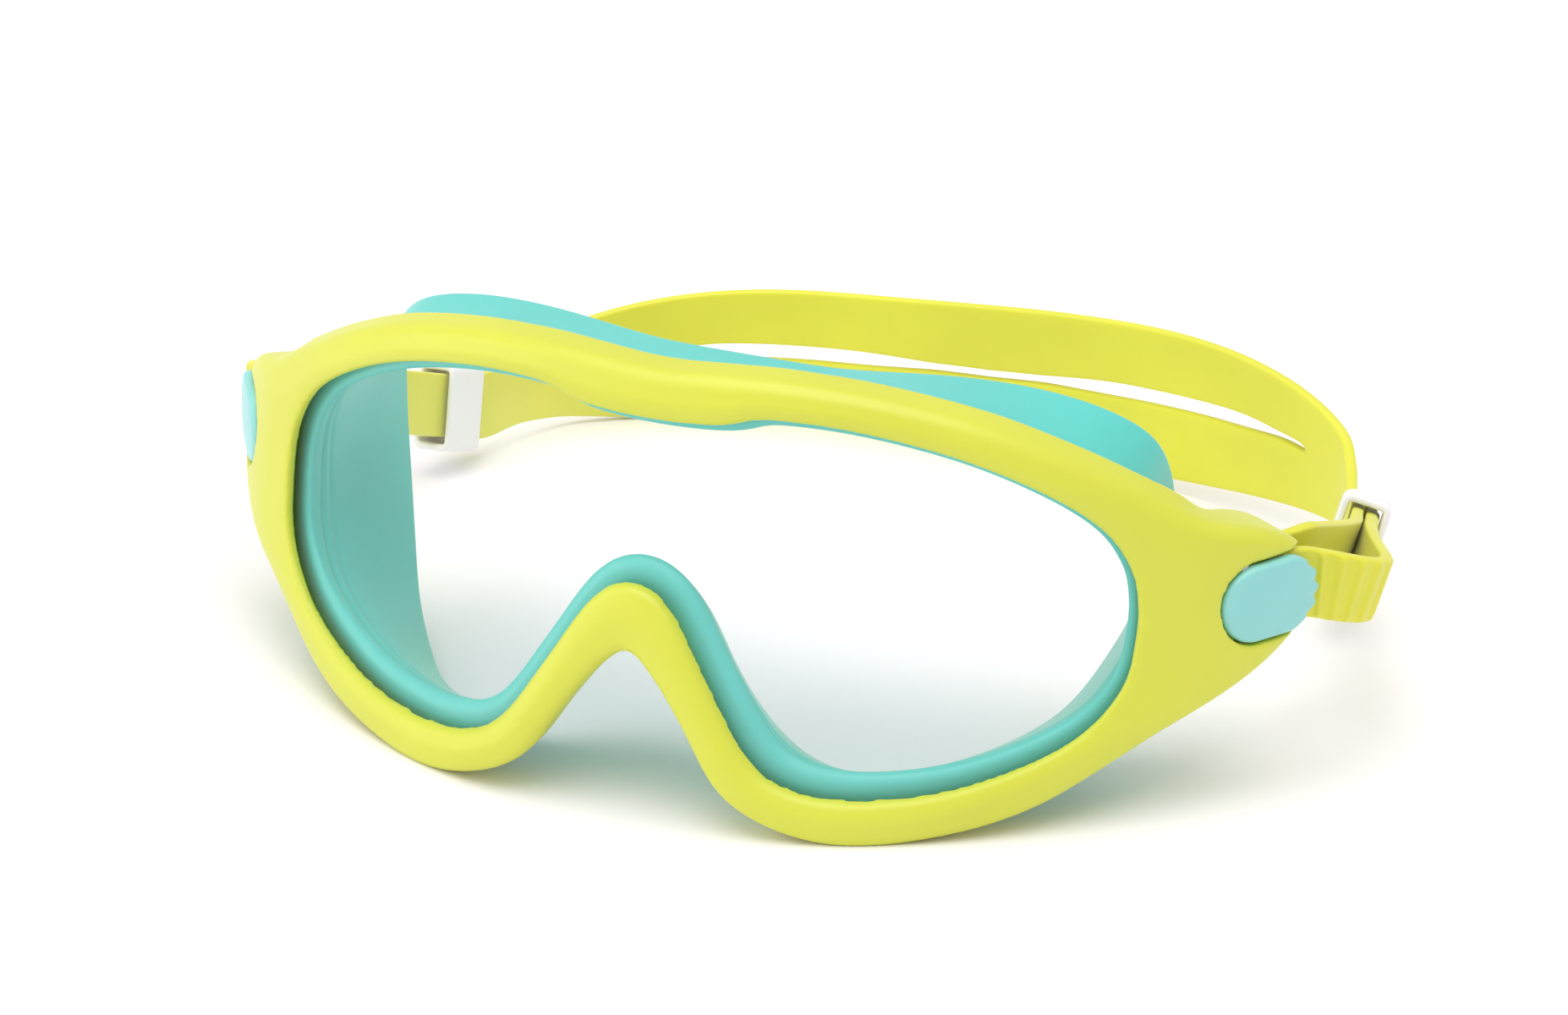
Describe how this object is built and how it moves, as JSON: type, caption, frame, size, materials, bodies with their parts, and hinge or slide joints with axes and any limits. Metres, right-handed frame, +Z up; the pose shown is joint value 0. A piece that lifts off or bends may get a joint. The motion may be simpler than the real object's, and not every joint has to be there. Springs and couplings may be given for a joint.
{
  "type": "swim goggles",
  "caption": "One-window swim goggles with soft face seal, temple release buttons and a split rear strap held by sliding keepers.",
  "frame": {"origin": "middle of the bounding box at table height", "axes": "front faces -Y, +X to the wearer's left, +Z up"},
  "size_m": [0.1687, 0.1331, 0.06],
  "materials": {
    "lime_shell": "satin moulded plastic",
    "clear_lens": "clear polycarbonate",
    "aqua_skirt": "soft satin elastomer",
    "clear_retainer": "moulded plastic",
    "aqua_button": "satin moulded plastic",
    "pin_steel": "stainless",
    "lime_strap": "soft satin elastomer",
    "white_keeper": "moulded plastic"
  },
  "bodies": {
    "mask": {"front_frame": "lime_shell", "lens": "clear_lens", "skirt": "aqua_skirt", "lens_retainer": "clear_retainer", "button_pin_left": "pin_steel", "button_pin_right": "pin_steel", "strap_post_left": "pin_steel", "strap_post_right": "pin_steel", "strap_loop_left": "lime_strap", "strap_loop_right": "lime_strap"},
    "button_left": {"release_button_left": "aqua_button"},
    "button_right": {"release_button_right": "aqua_button"},
    "keeper_left": {"keeper_left": "white_keeper"},
    "keeper_right": {"keeper_right": "white_keeper"},
    "strap": {"strap_band": "lime_strap"}
  },
  "joints": [
    {"name": "button_left_press", "type": "hinge", "parent": "mask", "child": "button_left", "pos_m": [0.07155, -0.02575, 0.0272], "axis": [0, 0, -1], "range_deg": [0, 16], "stiffness_Nm_per_rad": 0.05},
    {"name": "button_right_press", "type": "hinge", "parent": "mask", "child": "button_right", "pos_m": [-0.07155, -0.02575, 0.0272], "axis": [0, 0, 1], "range_deg": [0, 16], "stiffness_Nm_per_rad": 0.05},
    {"name": "keeper_left_slide", "type": "slide", "parent": "mask", "child": "keeper_left", "axis": [0.2836, -0.912, 0.2964], "range_m": [0, 0.008]},
    {"name": "keeper_right_slide", "type": "slide", "parent": "mask", "child": "keeper_right", "axis": [-0.2836, -0.912, 0.2964], "range_m": [0, 0.004]},
    {"name": "strap_swing", "type": "hinge", "parent": "mask", "child": "strap", "pos_m": [0, 0.0396, 0.01001], "axis": [0.9994, 0, 0.0337], "range_deg": [-15, 40], "stiffness_Nm_per_rad": 0.5}
  ]
}
